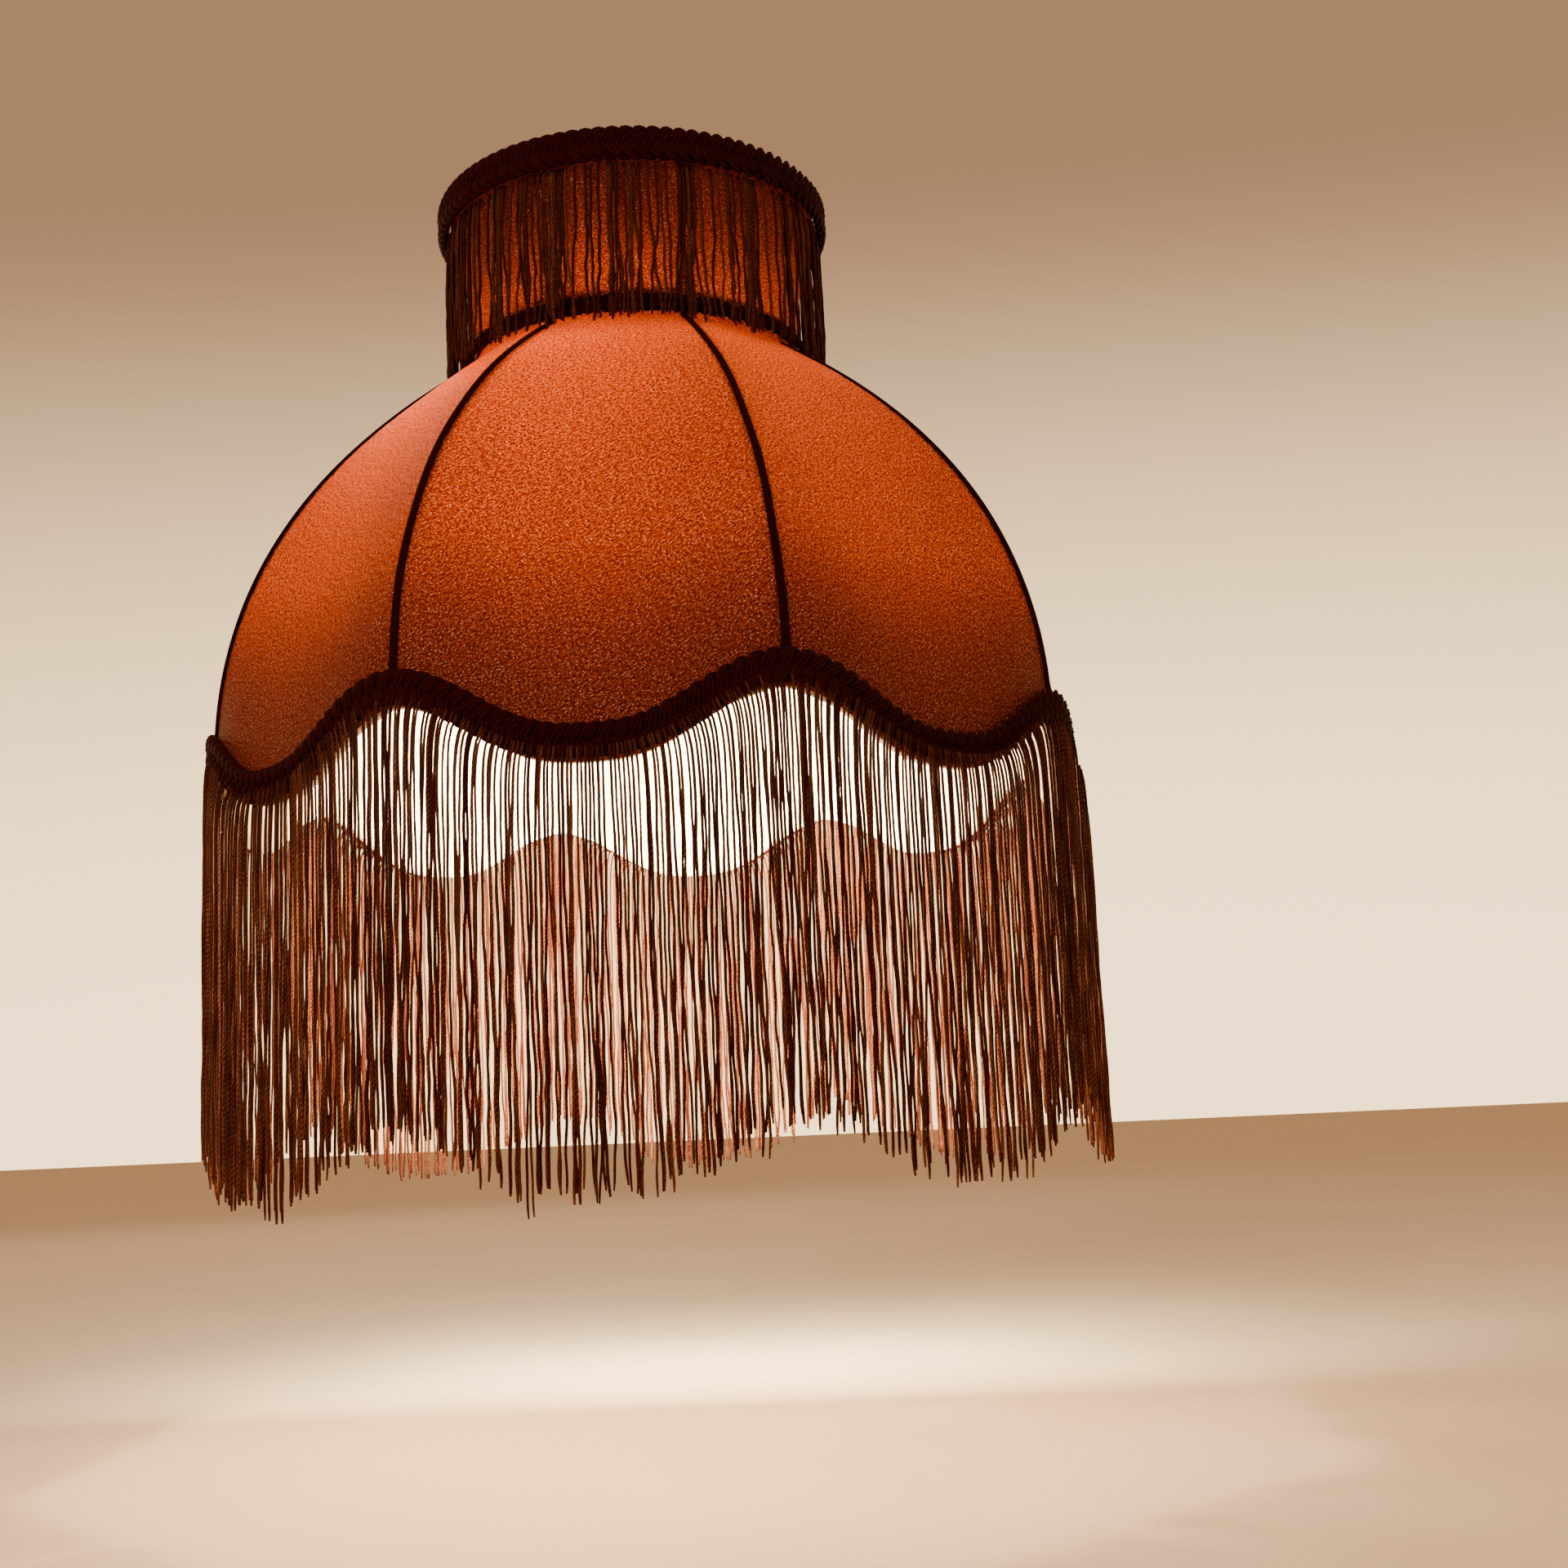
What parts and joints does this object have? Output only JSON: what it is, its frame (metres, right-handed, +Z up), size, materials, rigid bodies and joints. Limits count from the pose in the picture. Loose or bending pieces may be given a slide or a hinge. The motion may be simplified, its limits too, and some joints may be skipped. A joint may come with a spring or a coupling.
{
  "type": "lamp shade",
  "caption": "Fringed Victorian dome lamp shade: ribbed wire frame, stretched fabric gores, lining, braids and two fringes, on a tilting drop fitter.",
  "frame": {"origin": "centre of the fitter ring's underside, the face that sits on the lampholder's shoulder", "axes": "+Z up along the shade's axis; X is the line of the two pivots, so the ring tilts in the YZ plane; the gores, not the ribs, face X and Y"},
  "size_m": [0.372, 0.372, 0.4257],
  "materials": {
    "gold_cloth": "satin twill with a metallic sparkle",
    "lining_cloth": "plain cream lining",
    "piping_cloth": "matte folded tape",
    "braid_cord": "thread-wrapped gimp braid",
    "fringe_thread": "chain-stitched rayon strands",
    "frame_wire": "cream powder coat",
    "fitter_brass": "satin brass plate"
  },
  "bodies": {
    "shade": {"top_ring": "frame_wire", "neck_ring": "frame_wire", "hem_ring": "frame_wire", "rib_1": "frame_wire", "rib_2": "frame_wire", "rib_3": "frame_wire", "rib_4": "frame_wire", "rib_5": "frame_wire", "rib_6": "frame_wire", "rib_7": "frame_wire", "rib_8": "frame_wire", "dome_panel_1": "gold_cloth", "dome_panel_2": "gold_cloth", "dome_panel_3": "gold_cloth", "dome_panel_4": "gold_cloth", "dome_panel_5": "gold_cloth", "dome_panel_6": "gold_cloth", "dome_panel_7": "gold_cloth", "dome_panel_8": "gold_cloth", "collar_panel_1": "gold_cloth", "collar_panel_2": "gold_cloth", "collar_panel_3": "gold_cloth", "collar_panel_4": "gold_cloth", "collar_panel_5": "gold_cloth", "collar_panel_6": "gold_cloth", "collar_panel_7": "gold_cloth", "collar_panel_8": "gold_cloth", "dome_lining": "lining_cloth", "collar_lining": "lining_cloth", "rib_piping_1": "piping_cloth", "rib_piping_2": "piping_cloth", "rib_piping_3": "piping_cloth", "rib_piping_4": "piping_cloth", "rib_piping_5": "piping_cloth", "rib_piping_6": "piping_cloth", "rib_piping_7": "piping_cloth", "rib_piping_8": "piping_cloth", "top_braid": "braid_cord", "neck_braid": "braid_cord", "hem_braid": "braid_cord", "hem_fringe": "fringe_thread", "collar_fringe": "fringe_thread", "drop_arm_right": "fitter_brass", "drop_arm_left": "fitter_brass"},
    "fitter": {"fitter_ring": "fitter_brass", "pivot_rivet_right": "fitter_brass", "pivot_rivet_left": "fitter_brass"}
  },
  "joints": [
    {"name": "fitter_tilt", "type": "hinge", "parent": "shade", "child": "fitter", "pos_m": [0, 0, 0.006], "axis": [1, 0, 0], "range_deg": [-25, 25]}
  ]
}
